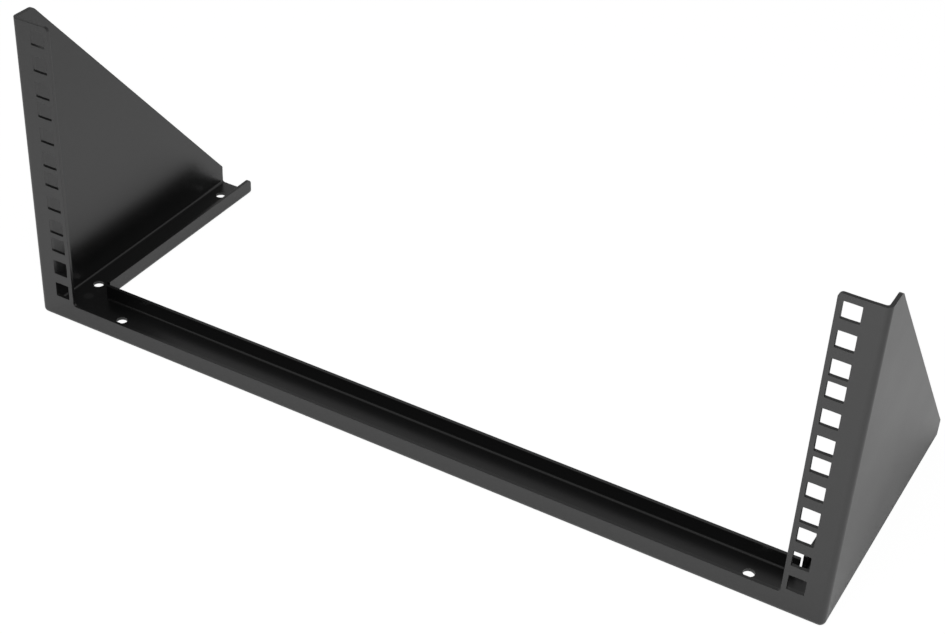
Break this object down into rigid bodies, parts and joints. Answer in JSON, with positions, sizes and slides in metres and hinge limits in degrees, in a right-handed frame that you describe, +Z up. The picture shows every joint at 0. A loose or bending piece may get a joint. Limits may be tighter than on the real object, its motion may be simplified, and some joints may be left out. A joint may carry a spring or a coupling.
{
  "type": "wall mount open frame rack",
  "caption": "Open wall mount rack frame folded from black powder coated sheet: square-holed posts, sloped side plates and an open screw-down floor.",
  "frame": {"origin": "on the underside of the floor, below the middle of the frame's width and depth", "axes": "+X along the width to the right as seen from the front, +Y from the front face with the posts towards the open rear, +Z up from the screwed-down floor along the posts"},
  "size_m": [0.5, 0.18, 0.195],
  "materials": {
    "powder_coat": "matte"
  },
  "bodies": {
    "root": {"bracket": "powder_coat"}
  },
  "joints": []
}
